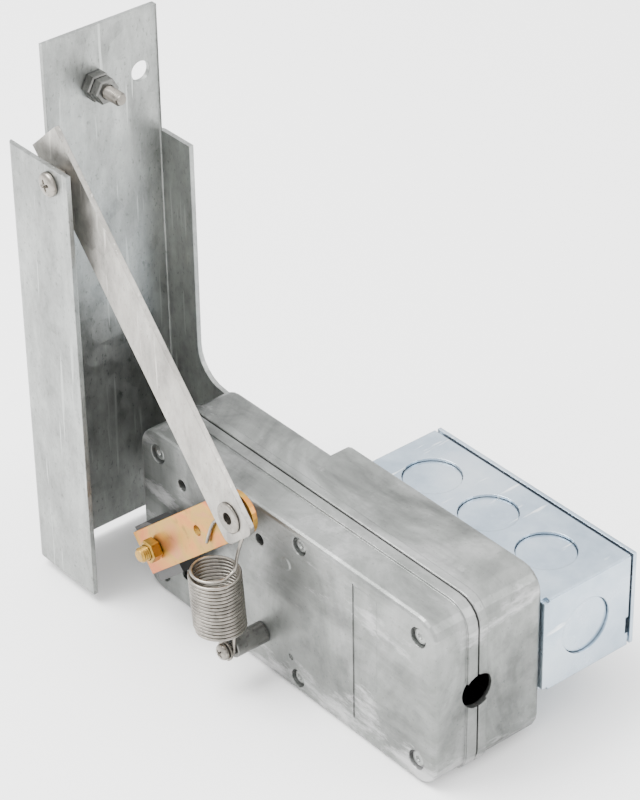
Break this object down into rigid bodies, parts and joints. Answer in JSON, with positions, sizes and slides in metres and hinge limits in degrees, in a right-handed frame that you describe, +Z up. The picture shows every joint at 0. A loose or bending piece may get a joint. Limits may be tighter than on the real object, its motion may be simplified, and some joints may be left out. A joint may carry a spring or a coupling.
{
  "type": "limit switch",
  "caption": "Cast two-part limit switch housing with a spring-returned channel arm, crank and link on its shaft, and a sheet-metal junction box.",
  "frame": {"origin": "centre of the bounding box at the underside of the housing rim", "axes": "+X along the housing towards its conduit hole, +Y from the crank side to the junction box, +Z up along the channel arm"},
  "size_m": [0.2004, 0.1224, 0.2127],
  "materials": {
    "casting": "matte die casting",
    "zinc": "galvanised sheet",
    "box_zinc": "bright zinc plate",
    "chromate": "yellow zinc-chromate plate",
    "brass": "satin",
    "steel": "drawn wire and screws",
    "dark_steel": "dark plated",
    "black": "moulded",
    "bronze": "sintered bronze",
    "phenolic": "moulded",
    "nylon": "moulded",
    "cork": "gasket sheet",
    "green": "dyed ground screw"
  },
  "bodies": {
    "housing": {"box_cover_screw_1": "zinc", "box_cover_screw_2": "zinc", "conduit_nipple": "zinc", "cover_screw_1": "zinc", "cover_screw_2": "zinc", "cover_screw_3": "zinc", "cover_screw_4": "zinc", "cover_screw_5": "zinc", "cover_screw_6": "zinc", "front_bush": "bronze", "front_cover": "casting", "gasket": "cork", "ground_screw": "green", "junction_box_body": "box_zinc", "junction_box_cover": "box_zinc", "knockout_1": "box_zinc", "knockout_2": "box_zinc", "knockout_3": "box_zinc", "knockout_4": "box_zinc", "locknut": "zinc", "post_screw": "steel", "post_washer": "steel", "rear_bush": "bronze", "rear_casting": "casting", "return_spring": "steel", "snap_switch_1": "phenolic", "snap_switch_2": "phenolic", "spring_post": "dark_steel", "switch_bracket": "zinc", "terminal_block": "black", "terminal_screw_1": "brass", "terminal_screw_2": "brass", "terminal_screw_3": "brass"},
    "arm": {"shaft": "brass", "cam_1": "nylon", "cam_2": "nylon", "channel_bracket": "zinc", "crank_arm": "chromate", "hub_block": "black", "shaft_nut": "brass", "foot_nut": "brass", "link_bar": "zinc", "pivot_eyelet": "steel", "flange_screw": "steel", "flange_nut_1": "steel", "flange_nut_2": "steel", "striker_bolt": "steel", "striker_nut_1": "dark_steel", "striker_nut_2": "dark_steel"},
    "lever_unit_1": {"lever_1": "zinc", "roller_1": "nylon"},
    "lever_unit_2": {"lever_2": "zinc", "roller_2": "nylon"},
    "plunger_unit_1": {"plunger_1": "nylon"},
    "plunger_unit_2": {"plunger_2": "nylon"}
  },
  "joints": [
    {"name": "arm_swing", "type": "hinge", "parent": "housing", "child": "arm", "pos_m": [-0.03475, -0.0331, 0.0368], "axis": [0, -1, 0], "range_deg": [0, 20], "stiffness_Nm_per_rad": 2, "springref_deg": -14.32, "deforming": ["return_spring"]},
    {"name": "lever_1_tilt", "type": "hinge", "parent": "housing", "child": "lever_unit_1", "pos_m": [-0.01865, -0.0216, 0.0258], "axis": [0, 1, 0], "range_deg": [0, 6.5]},
    {"name": "plunger_1_press", "type": "slide", "parent": "housing", "child": "plunger_unit_1", "axis": [1, 0, 0], "range_m": [0, 0.0006]},
    {"name": "lever_2_tilt", "type": "hinge", "parent": "housing", "child": "lever_unit_2", "pos_m": [-0.01865, -0.0076, 0.0258], "axis": [0, 1, 0], "range_deg": [0, 6.5]},
    {"name": "plunger_2_press", "type": "slide", "parent": "housing", "child": "plunger_unit_2", "axis": [1, 0, 0], "range_m": [0, 0.0006]}
  ],
  "couplings": [
    {"joint": "lever_1_tilt", "follows": "arm_swing", "ratio": 0.31226},
    {"joint": "plunger_1_press", "follows": "arm_swing", "m_per_rad": 0.0015613},
    {"joint": "lever_2_tilt", "follows": "arm_swing", "ratio": 0.31226},
    {"joint": "plunger_2_press", "follows": "arm_swing", "m_per_rad": 0.0015613}
  ]
}
